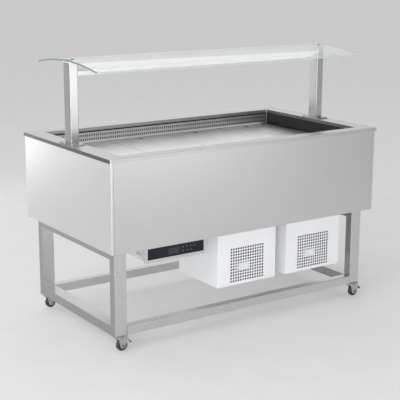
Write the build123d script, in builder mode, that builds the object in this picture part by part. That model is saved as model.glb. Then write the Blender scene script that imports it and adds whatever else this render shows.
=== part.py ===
from build123d import *
from math import cos, radians, sin, sqrt
import os

# Refrigerated buffet island on castors, in millimetres, +Z up.
# Origin on the floor under the centre of the worktop, +X along the length, -Y towards the front.

# Overall
length = 1500.0
depth = 830.0
worktop_height = 870.0
canopy_rise = 376.0
sheet = 2.0
touch_gap = 0.3
running_clearance = 0.05

# Worktop
edge_drop = 17.0
lip_drop = 16.0
side_rim = 84.0
long_rim = 63.0
worktop_corner = 6.0
opening_corner = 5.0
fold_radius = 1.2

# Cold body
overhang = 6.0
body_height = 411.0
corner_return = 12.0
bend_radius = 3.0
seam_gap = 1.0
well_depth = 290.0
duct_depth = 20.0
foam_floor = 50.0
foam_clearance = 1.0

# Lift-out floor panels of the well
panel_drop = 74.0
panel_count = 4
panel_gap = 2.5
panel_side_clearance = 6.0
panel_end_clearance = 10.0
panel_fold = 15.0
ledge_width = 20.0
ledge_thickness = 3.0
finger_hole = 30.0
finger_inset = 30.0
finger_collar = 6.0

# Slotted air grilles on the long walls of the well
grille_end_gap = 5.0
grille_edge_gap = 1.0
grille_recess = 8.0
grille_foot_rise = 7.5
grille_foot_reach = 7.5
slot_pitch = 12.0
slot_width = 6.0
slot_length = 12.0
slot_row_pitch = 20.5
slot_rows = 2
slot_margin = 12.0
duct_mouth_margin = 10.0
duct_foot_height = 60.0
duct_foot_rise = 20.0

# Undercarriage
frame_inset_x = 40.0
frame_inset_y = 48.0
leg_width = 60.0
leg_depth = 40.0
rail_height = 42.0
tube_wall = 2.0
tube_corner = 3.0

# Castors
castor_height = 72.0
castor_plate_size = 56.0
castor_plate_corner = 6.0
castor_plate = 3.0
swivel_dish_radius = 20.0
swivel_dish = 7.0
kingpin_radius = 5.0
kingpin_head_radius = 8.0
kingpin_head = 3.0
fork_disc_radius = 22.0
fork_sheet = 3.0
fork_cheek = 2.0
fork_eye_radius = 13.0
fork_nose = 26.0
trail = 12.0
wheel_radius = 25.0
wheel_width = 18.0
wheel_edge = 3.0
wheel_dish_inner = 11.0
wheel_dish_outer = 19.0
wheel_dish = 3.0
hub_radius = 10.0
hub_side_gap = 0.5
hub_proud = 1.0
axle_radius = 4.0
axle_head_radius = 5.5
axle_head = 3.0
pedal_pin_radius = 2.0
pedal_pin_offset = 22.0
pedal_pin_height = 54.5
pedal_sleeve_radius = 4.0
pedal_sleeve_gap = 2.0
pedal_reach = 34.0
pedal_slope = 42.0
pedal_width = 16.0
pedal_sheet = 2.5
pedal_lip = 6.0

# Posts and canopy
post_inset = 44.0
post_width = 40.0
post_depth = 60.0
foot_plate_width = 68.0
foot_plate_depth = 124.0
foot_plate = 5.0
foot_screw_radius = 4.5
foot_screw_head = 2.5
foot_screw_inset = 10.0
clamp_block = 6.0
clamp_stud_radius = 4.0
clamp_cap_radius = 13.0
clamp_cap = 4.0
glass_thickness = 8.0
glass_radius = 1400.0
canopy_overhang = 24.0
canopy_depth = 566.0
canopy_corner = 18.0
glass_hole_clearance = 2.0

# Lamp bar
lamp_gap = 43.0
lamp_width = 56.0
lamp_height = 20.0
lamp_wall = 2.0
lamp_end = 4.0
diffuser = 4.0

# Control box
control_centre_x = -394.0
fascia_width = 318.0
fascia_height = 79.0
fascia_depth = 14.0
fascia_drop = 1.0
glass_border = 11.0
glass_border_z = 14.0
display_thickness = 3.0
display_clearance = 0.2
control_step = 6.0
control_neck = 3.0
control_depth = 200.0
control_wall = 1.5
vent_length = 18.0
vent_width = 4.0
vent_pitch = 14.0
vent_row_pitch = 22.0
vent_count = 4
vent_rows = 2
vent_tilt = 60.0
vent_from_front = 50.0

# Condensing units
unit_centres = (5.0, 405.0)
unit_width = 335.0
unit_depth = 325.0
unit_height = 264.0
unit_setback = 5.0
hole_pitch = 14.0
hole_radius = 5.2
hole_columns = 14
hole_rows = 12
hole_field_rise = 96.0
unit_screw_radius = 3.5
unit_screw_head = 1.5
unit_screw_inset = 6.0
exhaust_slot_length = 150.0
exhaust_slot_width = 8.0
exhaust_slot_pitch = 24.0
exhaust_slots = 10
compressor_radius = 70.0
compressor_height = 165.0
compressor_dome = 42.0
compressor_foot_width = 190.0
compressor_foot_depth = 120.0
compressor_foot = 4.0
compressor_inset = 95.0

# Coils and fans
fin_thickness = 1.0
fin_pitch = 10.0
coil_tube_radius = 5.0
coil_tube_rows = 4
coil_depth = 40.0
coil_width = 260.0
coil_height = 225.0
coil_back_gap = 30.0
shroud = 2.0
fan_radius = 84.0
fan_tip_gap = 4.0
fan_width = 20.0
fan_hub_radius = 22.0
fan_blades = 5
fan_blade_chord = 44.0
fan_blade_sheet = 2.0
fan_pitch = 25.0
fan_shroud_gap = 4.0
motor_radius = 34.0
motor_length = 38.0
motor_face_gap = 2.0
shaft_radius = 4.0
shaft_tip = 3.0
bracket_bar = 14.0
bracket_sheet = 3.0
bracket_margin = 16.0
evaporator_width = 840.0
evaporator_depth = 110.0
evaporator_height = 150.0
evaporator_setback = 70.0
evaporator_fan_radius = 60.0
evaporator_fan_spacing = 420.0

# Drain
drain_x = 560.0
drain_y = 250.0
drain_radius = 16.0
drain_bore_radius = 12.0
drain_flange_radius = 30.0
drain_flange = 2.0
drain_clearance = 1.0
drain_tail_radius = 14.0
drain_tail = 35.0
drain_shoulder = 5.0
strainer_bar = 3.0

# Levels and faces that several pieces share
worktop_under = worktop_height - sheet
body_bottom = worktop_height - body_height
body_length = length - 2 * overhang
body_depth = depth - 2 * overhang
opening_length = length - 2 * side_rim
opening_depth = depth - 2 * long_rim
well_length = opening_length + 2 * sheet
well_width = opening_depth + 2 * sheet
well_floor = worktop_height - well_depth
panel_top = worktop_height - panel_drop
panel_under = panel_top - panel_fold
tray_top = body_bottom + sheet
frame_length = length - 2 * frame_inset_x
frame_depth = depth - 2 * frame_inset_y
frame_height = body_bottom - castor_height
leg_x = frame_length / 2 - leg_width / 2
leg_y = frame_depth / 2 - leg_depth / 2
post_x = length / 2 - post_inset
canopy_top = worktop_height + canopy_rise
glass_under = canopy_top - glass_thickness
arch_centre = canopy_top - glass_radius
post_top = glass_under - clamp_block
lamp_top = glass_under - lamp_gap
lamp_length = 2 * post_x - post_width
fork_top = castor_height - castor_plate - swivel_dish - touch_gap
fork_under = fork_top - fork_sheet
cheek_inside = wheel_width / 2 + hub_proud + hub_side_gap
cheek_outside = cheek_inside + fork_cheek
frame_front = -frame_depth / 2

os.makedirs("parts", exist_ok=True)


def save(builder, label):
    """Name one finished piece and write it to its own file."""
    builder.part.label = label
    export_step(builder.part, f"parts/{label}.step")


# Worktop: a flat sheet with a folded edge outside and a folded lip round the well
with BuildPart() as worktop:
    with BuildSketch(Plane.XY.offset(worktop_under)):
        RectangleRounded(length, depth, worktop_corner)
        RectangleRounded(opening_length, opening_depth, opening_corner, mode=Mode.SUBTRACT)
    extrude(amount=sheet)
    with BuildSketch(Plane.XY.offset(worktop_height - edge_drop)):
        RectangleRounded(length, depth, worktop_corner)
        RectangleRounded(
            length - 2 * sheet, depth - 2 * sheet, worktop_corner - sheet, mode=Mode.SUBTRACT
        )
    extrude(amount=edge_drop - sheet)
    with BuildSketch(Plane.XY.offset(worktop_height - lip_drop)):
        RectangleRounded(well_length, well_width, opening_corner + sheet)
        RectangleRounded(opening_length, opening_depth, opening_corner, mode=Mode.SUBTRACT)
    extrude(amount=lip_drop - sheet)
    fillet(worktop.edges().group_by(Axis.Z)[-1], radius=fold_radius)
save(worktop, "worktop")

# Apron panels: the side ones turn the corners, the long ones stand between their returns
apron_height = worktop_under - body_bottom


def make_side_apron(label, side):
    """An end panel whose front and back edges return round the corners."""
    inner = side * (body_length / 2 - corner_return / 2)
    with BuildPart() as panel:
        with BuildSketch(Plane.XY.offset(body_bottom)):
            with Locations((inner, 0)):
                Rectangle(corner_return, body_depth)
            with Locations((inner - side * sheet, 0)):
                Rectangle(corner_return, body_depth - 2 * sheet, mode=Mode.SUBTRACT)
        extrude(amount=apron_height)
        corners = panel.edges().filter_by(Axis.Z).sort_by(Axis.X)
        fillet(corners[-2:] if side > 0 else corners[:2], radius=bend_radius)
    save(panel, label)


def make_long_apron(label, side):
    """A flat front or back panel between the corner returns."""
    with BuildPart() as panel:
        with BuildSketch(Plane((0, side * (body_depth - sheet) / 2, body_bottom))):
            Rectangle(body_length - 2 * (corner_return + seam_gap), sheet)
        extrude(amount=apron_height)
    save(panel, label)


make_side_apron("apron_left", -1)
make_side_apron("apron_right", 1)
make_long_apron("apron_front", -1)
make_long_apron("apron_back", 1)

# Bottom tray that closes the body and carries everything hung below it
with BuildPart() as tray:
    with BuildSketch(Plane.XY.offset(body_bottom)):
        Rectangle(body_length - 2 * sheet, body_depth - 2 * sheet)
        with Locations((drain_x, drain_y)):
            Circle(drain_radius + drain_clearance, mode=Mode.SUBTRACT)
    extrude(amount=sheet)
save(tray, "bottom_tray")

# Well liner: an open tub with panel ledges, duct mouths behind the grilles and duct feet below
grille_top = worktop_height - lip_drop - grille_recess
grille_foot = panel_top + grille_edge_gap
grille_height = grille_top - grille_foot
grille_length = opening_length - 2 * (opening_corner + grille_end_gap)
liner_height = worktop_under - well_floor
mouth_height = grille_height - duct_mouth_margin
mouth_level = (grille_top + grille_foot) / 2
foot_level = well_floor + duct_foot_rise + duct_foot_height / 2

with BuildPart() as liner:
    with BuildSketch(Plane.XY.offset(well_floor - sheet)):
        RectangleRounded(
            well_length + 2 * sheet, well_width + 2 * sheet, opening_corner + 2 * sheet
        )
    extrude(amount=liner_height + sheet)
    with BuildSketch(Plane.XY.offset(well_floor)):
        RectangleRounded(well_length, well_width, opening_corner + sheet)
    extrude(amount=liner_height, mode=Mode.SUBTRACT)
    with BuildSketch(Plane.XY.offset(panel_under - ledge_thickness)):
        with Locations((0, well_width / 2 - ledge_width / 2), (0, ledge_width / 2 - well_width / 2)):
            Rectangle(grille_length, ledge_width)
    extrude(amount=ledge_thickness)
    with BuildSketch(Plane.XZ):
        with Locations((0, mouth_level)):
            Rectangle(grille_length - 2 * duct_mouth_margin, mouth_height)
        with Locations((0, foot_level)):
            Rectangle(grille_length - 2 * duct_mouth_margin, duct_foot_height)
    extrude(amount=depth / 2, both=True, mode=Mode.SUBTRACT)
    with BuildSketch(Plane((drain_x, drain_y, well_floor - sheet))):
        Circle(drain_radius + drain_clearance)
    extrude(amount=sheet, mode=Mode.SUBTRACT)
save(liner, "well_liner")

# Foam round the liner, leaving an air duct behind each long wall
with BuildPart() as insulation:
    with BuildSketch(Plane.XY.offset(well_floor - sheet - foam_floor)):
        Rectangle(
            body_length - 2 * (sheet + foam_clearance), body_depth - 2 * (sheet + foam_clearance)
        )
    extrude(amount=liner_height + sheet + foam_floor - foam_clearance)
    with BuildSketch(Plane.XY.offset(well_floor - sheet)):
        RectangleRounded(
            well_length + 2 * sheet,
            well_width + 2 * (sheet + duct_depth),
            opening_corner + 2 * sheet,
        )
    extrude(amount=liner_height + sheet, mode=Mode.SUBTRACT)
    with BuildSketch(Plane((drain_x, drain_y, well_floor - sheet - foam_floor))):
        Circle(drain_radius + drain_clearance)
    extrude(amount=foam_floor, mode=Mode.SUBTRACT)
save(insulation, "insulation")

# Floor panels: folded trays that rest on the ledges and lift out by a finger hole with a turned-down collar
panel_pitch = (opening_length - 2 * panel_side_clearance) / panel_count
panel_width = panel_pitch - panel_gap
panel_depth = opening_depth - 2 * panel_end_clearance


def make_panel(number):
    """One lift-out floor panel, counted from the left."""
    x = (number - (panel_count + 1) / 2) * panel_pitch
    with BuildPart() as panel:
        with BuildSketch(Plane((x, 0, panel_under))):
            Rectangle(panel_width, panel_depth)
        extrude(amount=panel_fold)
        with BuildSketch(Plane((x, 0, panel_under))):
            Rectangle(panel_width - 2 * sheet, panel_depth - 2 * sheet)
        extrude(amount=panel_fold - sheet, mode=Mode.SUBTRACT)
        fillet(panel.faces().sort_by(Axis.Z)[-1].outer_wire().edges(), radius=fold_radius)
        with BuildSketch(Plane((x, panel_depth / 2 - finger_inset, panel_top))):
            Circle(finger_hole / 2 + sheet)
        extrude(amount=-finger_collar)
        with BuildSketch(Plane((x, panel_depth / 2 - finger_inset, panel_top))):
            Circle(finger_hole / 2)
        extrude(amount=-panel_fold, mode=Mode.SUBTRACT)
    save(panel, f"well_panel_{number}")


for number in range(1, panel_count + 1):
    make_panel(number)

# Air grilles: slotted strips on the long walls, with a foot folded out over the edge of the panels
slot_count = int((grille_length - 2 * slot_margin) // slot_pitch) + 1


def make_grille(label, side):
    """A slotted strip flat against the front or back wall of the well, with a sloping foot."""
    wall = side * well_width / 2
    strip_height = grille_height - grille_foot_rise
    strip_level = grille_top - strip_height / 2
    with BuildPart() as grille:
        with BuildSketch(Plane((0, wall, strip_level), x_dir=(1, 0, 0), z_dir=(0, -side, 0))):
            Rectangle(grille_length, strip_height)
        extrude(amount=sheet)
        with BuildSketch(Plane((0, wall, mouth_level), x_dir=(1, 0, 0), z_dir=(0, -side, 0))):
            with GridLocations(slot_pitch, slot_row_pitch, slot_count, slot_rows):
                SlotOverall(slot_length, slot_width, rotation=90)
        extrude(amount=sheet, mode=Mode.SUBTRACT)
        end = (side * grille_length / 2, wall, grille_foot)
        with BuildSketch(Plane(end, x_dir=(0, -side, 0), z_dir=(-side, 0, 0))):
            with BuildLine():
                Polyline(
                    (0, grille_foot_rise),
                    (sheet, grille_foot_rise),
                    (sheet + grille_foot_reach, 0),
                    (grille_foot_reach, 0),
                    close=True,
                )
            make_face()
        extrude(amount=grille_length)
    save(grille, label)


make_grille("air_outlet_grille", 1)
make_grille("air_return_grille", -1)

# Undercarriage: two welded side frames of square tube, joined by a front and a back rail
def make_side_frame(label, side):
    """Two legs, a lower rail and an upper rail, hollow and open at the foot of each leg."""
    middle = side * leg_x
    mid_height = castor_height + frame_height / 2
    with BuildPart() as frame:
        with BuildSketch(Plane((middle, 0, mid_height), x_dir=(0, 1, 0), z_dir=(1, 0, 0))):
            Rectangle(frame_depth, frame_height)
            Rectangle(
                frame_depth - 2 * leg_depth, frame_height - 2 * rail_height, mode=Mode.SUBTRACT
            )
        extrude(amount=leg_width / 2, both=True)
        fillet(frame.edges().filter_by(Axis.Z).group_by(Axis.Y)[0], radius=tube_corner)
        fillet(frame.edges().filter_by(Axis.Z).group_by(Axis.Y)[-1], radius=tube_corner)
        with BuildSketch(Plane((middle, 0, mid_height), x_dir=(0, 1, 0), z_dir=(1, 0, 0))):
            Rectangle(frame_depth - 2 * tube_wall, frame_height - 2 * tube_wall)
            Rectangle(
                frame_depth - 2 * (leg_depth - tube_wall),
                frame_height - 2 * (rail_height - tube_wall),
                mode=Mode.SUBTRACT,
            )
        extrude(amount=leg_width / 2 - tube_wall, both=True, mode=Mode.SUBTRACT)
        with BuildSketch(Plane((middle, 0, castor_height))):
            with Locations((0, leg_y), (0, -leg_y)):
                Rectangle(leg_width - 2 * tube_wall, leg_depth - 2 * tube_wall)
        extrude(amount=tube_wall, mode=Mode.SUBTRACT)
    save(frame, label)


def make_long_rail(label, side):
    """A lower tube between the two side frames."""
    with BuildPart() as rail:
        with BuildSketch(
            Plane((0, side * leg_y, castor_height + rail_height / 2), x_dir=(0, 1, 0), z_dir=(1, 0, 0))
        ):
            RectangleRounded(leg_depth, rail_height, tube_corner)
            Rectangle(leg_depth - 2 * tube_wall, rail_height - 2 * tube_wall, mode=Mode.SUBTRACT)
        extrude(amount=leg_x - leg_width / 2, both=True)
    save(rail, label)


make_side_frame("side_frame_left", -1)
make_side_frame("side_frame_right", 1)
make_long_rail("rail_front", -1)
make_long_rail("rail_back", 1)

# Castors: a fixed head under each leg, a swivelling fork, a wheel, and a pedal on the front ones
def make_castor_head(label, x, y):
    """Head plate, bearing dish and kingpin, fixed to a leg."""
    with BuildPart() as head:
        with BuildSketch(Plane((x, y, castor_height - castor_plate))):
            RectangleRounded(castor_plate_size, castor_plate_size, castor_plate_corner)
        extrude(amount=castor_plate)
        with BuildSketch(Plane((x, y, castor_height - castor_plate - swivel_dish))):
            Circle(swivel_dish_radius)
        extrude(amount=swivel_dish)
        with BuildSketch(Plane((x, y, fork_under - touch_gap))):
            Circle(kingpin_radius)
        extrude(amount=fork_sheet + 2 * touch_gap)
        with BuildSketch(Plane((x, y, fork_under - touch_gap - kingpin_head))):
            Circle(kingpin_head_radius)
        extrude(amount=kingpin_head)
    save(head, label)


def make_fork(label, x, y, has_pedal):
    """Swivel disc, two cheeks and the axle, with the pedal pin on a braked castor."""
    middle = Plane((x, y, 0), x_dir=(1, 0, 0), z_dir=(0, -1, 0))
    axle_x = trail
    nose_x = trail + fork_nose
    with BuildPart() as fork:
        with BuildSketch(Plane((x, y, fork_under))):
            Circle(fork_disc_radius)
        extrude(amount=fork_sheet)
        with BuildSketch(middle):
            with BuildLine():
                Polyline(
                    (-fork_disc_radius + fork_eye_radius, fork_under),
                    (-fork_disc_radius + fork_eye_radius, fork_top),
                    (nose_x, fork_top),
                    (nose_x, pedal_pin_height - pedal_sleeve_radius),
                    (axle_x + fork_eye_radius, wheel_radius),
                    (axle_x - fork_eye_radius, wheel_radius),
                    close=True,
                )
            make_face()
            with Locations((axle_x, wheel_radius)):
                Circle(fork_eye_radius)
        extrude(amount=cheek_outside, both=True)
        with BuildSketch(middle):
            with Locations((axle_x, fork_under / 2)):
                Rectangle(length, fork_under)
        extrude(amount=cheek_inside, both=True, mode=Mode.SUBTRACT)
        with BuildSketch(middle):
            with Locations((fork_disc_radius + fork_nose, fork_under)):
                Rectangle(2 * fork_nose, 2 * fork_under)
        extrude(amount=cheek_inside, both=True, mode=Mode.SUBTRACT)
        with BuildSketch(middle):
            with Locations((axle_x, wheel_radius)):
                Circle(axle_radius)
        extrude(amount=cheek_outside, both=True)
        for face_side in (-1, 1):
            with BuildSketch(middle.offset(face_side * cheek_outside)):
                with Locations((axle_x, wheel_radius)):
                    RegularPolygon(axle_head_radius, 6)
            extrude(amount=face_side * axle_head)
        if has_pedal:
            with BuildSketch(middle):
                with Locations((axle_x + pedal_pin_offset, pedal_pin_height)):
                    Circle(pedal_pin_radius)
            extrude(amount=cheek_outside, both=True)
        with BuildSketch(Plane((x, y, fork_under))):
            Circle(kingpin_radius + running_clearance)
        extrude(amount=fork_sheet, mode=Mode.SUBTRACT)
    save(fork, label)


def make_wheel(label, x, y):
    """A solid tyred wheel with dished sides and a proud hub."""
    middle = Plane((x + trail, y, wheel_radius), x_dir=(1, 0, 0), z_dir=(0, -1, 0))
    with BuildPart() as wheel:
        with BuildSketch(middle):
            Circle(wheel_radius)
        extrude(amount=wheel_width / 2, both=True)
        fillet(wheel.edges().filter_by(GeomType.CIRCLE), radius=wheel_edge)
        for face_side in (-1, 1):
            with BuildSketch(middle.offset(face_side * wheel_width / 2)):
                Circle(wheel_dish_outer)
                Circle(wheel_dish_inner, mode=Mode.SUBTRACT)
            extrude(amount=-face_side * wheel_dish, mode=Mode.SUBTRACT)
        with BuildSketch(middle):
            Circle(hub_radius)
        extrude(amount=wheel_width / 2 + hub_proud, both=True)
        with BuildSketch(middle):
            Circle(axle_radius + running_clearance)
        extrude(amount=wheel_width, both=True, mode=Mode.SUBTRACT)
    save(wheel, label)


def make_pedal(label, x, y):
    """Brake pedal: a sleeve on the fork's pin and a sloping tread with a turned-down lip."""
    pin = (x + trail + pedal_pin_offset, y, pedal_pin_height)
    down = (cos(radians(pedal_slope)), 0, -sin(radians(pedal_slope)))
    middle = Plane(pin, x_dir=down, z_dir=(0, -1, 0))
    with BuildPart() as pedal:
        with BuildSketch(middle):
            Circle(pedal_sleeve_radius)
        extrude(amount=cheek_inside - pedal_sleeve_gap, both=True)
        with BuildSketch(middle):
            with Locations((pedal_reach / 2, 0)):
                Rectangle(pedal_reach, pedal_sheet)
            with Locations((pedal_reach - pedal_sheet / 2, pedal_sheet / 2 - pedal_lip / 2)):
                Rectangle(pedal_sheet, pedal_lip)
        extrude(amount=pedal_width / 2, both=True)
        with BuildSketch(middle):
            Circle(pedal_pin_radius + running_clearance)
        extrude(amount=cheek_inside, both=True, mode=Mode.SUBTRACT)
    save(pedal, label)


for corner, (x_side, y_side) in {
    "front_left": (-1, -1),
    "front_right": (1, -1),
    "back_left": (-1, 1),
    "back_right": (1, 1),
}.items():
    braked = y_side < 0
    make_castor_head(f"castor_head_{corner}", x_side * leg_x, y_side * leg_y)
    make_fork(f"castor_fork_{corner}", x_side * leg_x, y_side * leg_y, braked)
    make_wheel(f"castor_wheel_{corner}", x_side * leg_x, y_side * leg_y)
    if braked:
        make_pedal(f"brake_pedal_{corner}", x_side * leg_x, y_side * leg_y)

# Posts on the side rims, with screwed foot plates, and the clamps that hold the glass
def make_post(label, side):
    """A hollow post welded to its foot plate."""
    x = side * post_x
    plate_top = worktop_height + foot_plate
    screw_x = foot_plate_width / 2 - foot_screw_inset
    screw_y = foot_plate_depth / 2 - foot_screw_inset
    with BuildPart() as post:
        with BuildSketch(Plane((x, 0, worktop_height))):
            RectangleRounded(foot_plate_width, foot_plate_depth, tube_corner)
        extrude(amount=foot_plate)
        with BuildSketch(Plane((x, 0, plate_top))):
            RectangleRounded(post_width, post_depth, tube_corner)
            Rectangle(post_width - 2 * tube_wall, post_depth - 2 * tube_wall, mode=Mode.SUBTRACT)
        extrude(amount=post_top - plate_top)
        with BuildSketch(Plane((x, 0, plate_top))):
            with GridLocations(2 * screw_x, 2 * screw_y, 2, 2):
                Circle(foot_screw_radius)
        extrude(amount=foot_screw_head)
    save(post, label)


def make_clamp(label, side):
    """A block shaped to the arch of the glass, a stud through it and a cap on top."""
    x = side * post_x
    with BuildPart() as clamp:
        with BuildSketch(Plane((x, 0, post_top))):
            RectangleRounded(post_width, post_depth, tube_corner)
        extrude(amount=clamp_block)
        with BuildSketch(Plane((x, 0, arch_centre), x_dir=(0, 1, 0), z_dir=(1, 0, 0))):
            Circle(glass_radius - glass_thickness)
        extrude(amount=post_width, both=True, mode=Mode.INTERSECT)
        with BuildSketch(Plane((x, 0, post_top))):
            Circle(clamp_stud_radius)
        extrude(amount=clamp_block + glass_thickness)
        with BuildSketch(Plane((x, 0, canopy_top))):
            Circle(clamp_cap_radius)
        extrude(amount=clamp_cap)
        fillet(clamp.edges().group_by(Axis.Z)[-1], radius=fold_radius)
    save(clamp, label)


make_post("post_left", -1)
make_post("post_right", 1)
make_clamp("glass_clamp_left", -1)
make_clamp("glass_clamp_right", 1)

# Canopy: one sheet of glass bent to a shallow arch
half_canopy = canopy_depth / 2
inner_share = (glass_radius - glass_thickness) / glass_radius
edge_rise = sqrt(glass_radius**2 - half_canopy**2)
outer_front = (-half_canopy, arch_centre + edge_rise)
outer_back = (half_canopy, arch_centre + edge_rise)
inner_front = (-half_canopy * inner_share, arch_centre + edge_rise * inner_share)
inner_back = (half_canopy * inner_share, arch_centre + edge_rise * inner_share)
canopy_length = 2 * (post_x + canopy_overhang)

with BuildPart() as canopy:
    with BuildSketch(Plane.YZ):
        with BuildLine():
            ThreePointArc(outer_front, (0, canopy_top), outer_back)
            Line(outer_back, inner_back)
            ThreePointArc(inner_back, (0, glass_under), inner_front)
            Line(inner_front, outer_front)
        make_face()
    extrude(amount=canopy_length / 2, both=True)
    corner_edges = canopy.edges().filter_by(lambda edge: abs(edge.length - glass_thickness) < 0.01)
    fillet(corner_edges, radius=canopy_corner)
    with BuildSketch(Plane.XY.offset(glass_under - glass_thickness)):
        with Locations((post_x, 0), (-post_x, 0)):
            Circle(clamp_stud_radius + glass_hole_clearance)
    extrude(amount=3 * glass_thickness, mode=Mode.SUBTRACT)
save(canopy, "canopy_glass")

# Lamp bar: an inverted channel between the posts, closed below by its diffuser
with BuildPart() as lamp:
    with BuildSketch(Plane.XY.offset(lamp_top - lamp_height)):
        Rectangle(lamp_length, lamp_width)
    extrude(amount=lamp_height)
    fillet(lamp.edges().filter_by(Axis.X).group_by(Axis.Z)[-1], radius=tube_corner)
    with BuildSketch(Plane.XY.offset(lamp_top - lamp_height)):
        Rectangle(lamp_length - 2 * lamp_end, lamp_width - 2 * lamp_wall)
    extrude(amount=lamp_height - lamp_wall, mode=Mode.SUBTRACT)
save(lamp, "lamp_housing")

with BuildPart() as lamp_cover:
    with BuildSketch(Plane.XY.offset(lamp_top - lamp_height)):
        Rectangle(lamp_length - 2 * lamp_end, lamp_width - 2 * lamp_wall)
    extrude(amount=diffuser)
save(lamp_cover, "lamp_diffuser")

# Control box: a vented housing, a fascia in front of it and a display glass set into the fascia
fascia_level = body_bottom - fascia_drop - fascia_height / 2
fascia_back = frame_front + fascia_depth
housing_front = fascia_back + control_neck
housing_width = fascia_width - 2 * control_step
housing_height = fascia_height + fascia_drop - control_step
housing_level = body_bottom - housing_height / 2
neck_width = housing_width - 2 * control_step
neck_height = housing_height - 2 * control_step
vent_y = housing_front + vent_from_front

with BuildPart() as control_box:
    with BuildSketch(
        Plane((control_centre_x, housing_front, housing_level), x_dir=(1, 0, 0), z_dir=(0, -1, 0))
    ):
        Rectangle(housing_width, housing_height)
    extrude(amount=-control_depth)
    with BuildSketch(
        Plane((control_centre_x, fascia_back, housing_level), x_dir=(1, 0, 0), z_dir=(0, -1, 0))
    ):
        Rectangle(neck_width, neck_height)
    extrude(amount=-control_neck)
    with BuildSketch(
        Plane(
            (control_centre_x, housing_front + control_wall, housing_level),
            x_dir=(1, 0, 0),
            z_dir=(0, -1, 0),
        )
    ):
        Rectangle(housing_width - 2 * control_wall, housing_height - 2 * control_wall)
    extrude(amount=-(control_depth - 2 * control_wall), mode=Mode.SUBTRACT)
    with BuildSketch(
        Plane((control_centre_x, vent_y, housing_level), x_dir=(0, 1, 0), z_dir=(1, 0, 0))
    ):
        with GridLocations(vent_pitch, vent_row_pitch, vent_count, vent_rows):
            SlotOverall(vent_length, vent_width, rotation=vent_tilt)
    extrude(amount=fascia_width, both=True, mode=Mode.SUBTRACT)
save(control_box, "control_box")

pocket_width = fascia_width - 2 * glass_border
pocket_height = fascia_height - 2 * glass_border_z
with BuildPart() as fascia:
    with BuildSketch(
        Plane((control_centre_x, fascia_back, fascia_level), x_dir=(1, 0, 0), z_dir=(0, -1, 0))
    ):
        Rectangle(fascia_width, fascia_height)
    extrude(amount=fascia_depth)
    fillet(fascia.faces().sort_by(Axis.Y)[0].outer_wire().edges(), radius=fold_radius)
    with BuildSketch(
        Plane((control_centre_x, frame_front, fascia_level), x_dir=(1, 0, 0), z_dir=(0, -1, 0))
    ):
        Rectangle(pocket_width, pocket_height)
    extrude(amount=-display_thickness, mode=Mode.SUBTRACT)
save(fascia, "control_fascia")

with BuildPart() as display:
    with BuildSketch(
        Plane(
            (control_centre_x, frame_front + display_thickness, fascia_level),
            x_dir=(1, 0, 0),
            z_dir=(0, -1, 0),
        )
    ):
        Rectangle(pocket_width - 2 * display_clearance, pocket_height - 2 * display_clearance)
    extrude(amount=display_thickness)
save(display, "display_glass")

# Fans, fan motors and coils, shared by the condensing units and the evaporator
def make_fan(label, x, y, z, radius):
    """An axial fan about the Y axis, centred on its hub."""
    blade = radius - fan_hub_radius / 2
    with BuildPart(Plane((x, y, z), x_dir=(1, 0, 0), z_dir=(0, 1, 0))) as fan:
        Cylinder(fan_hub_radius, fan_width)
        with PolarLocations(fan_hub_radius / 2 + blade / 2, fan_blades):
            Box(blade, fan_blade_chord, fan_blade_sheet, rotation=(fan_pitch, 0, 0))
        with BuildSketch(Plane((x, y - 2 * fan_width, z), x_dir=(1, 0, 0), z_dir=(0, 1, 0))):
            Circle(2 * radius)
            Circle(radius, mode=Mode.SUBTRACT)
        extrude(amount=4 * fan_width, mode=Mode.SUBTRACT)
        with BuildSketch(Plane((x, y - fan_width, z), x_dir=(1, 0, 0), z_dir=(0, 1, 0))):
            Circle(shaft_radius + running_clearance)
        extrude(amount=2 * fan_width, mode=Mode.SUBTRACT)
    save(fan, label)


def make_motor(label, x, z, shroud_y, side, radius):
    """A fan motor on a bar that stands off its shroud; side is the way from shroud to motor."""
    fan_y = shroud_y + side * (fan_shroud_gap + fan_width / 2)
    face_y = fan_y + side * (fan_width / 2 + motor_face_gap)
    bar_y = face_y + side * motor_length
    reach = radius + fan_tip_gap + bracket_margin
    outward = {"x_dir": (1, 0, 0), "z_dir": (0, side, 0)}
    with BuildPart() as motor:
        with BuildSketch(Plane((x, face_y, z), **outward)):
            Circle(motor_radius)
        extrude(amount=motor_length)
        with BuildSketch(Plane((x, bar_y, z), **outward)):
            Rectangle(2 * reach + bracket_bar, bracket_bar)
        extrude(amount=bracket_sheet)
        with BuildSketch(Plane((x, shroud_y, z), **outward)):
            with Locations((reach, 0), (-reach, 0)):
                Rectangle(bracket_bar, bracket_bar)
        extrude(amount=abs(bar_y - shroud_y))
        with BuildSketch(Plane((x, fan_y - side * (fan_width / 2 + shaft_tip), z), **outward)):
            Circle(shaft_radius)
        extrude(amount=fan_width + shaft_tip + motor_face_gap)
    save(motor, label)
    return fan_y


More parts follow.
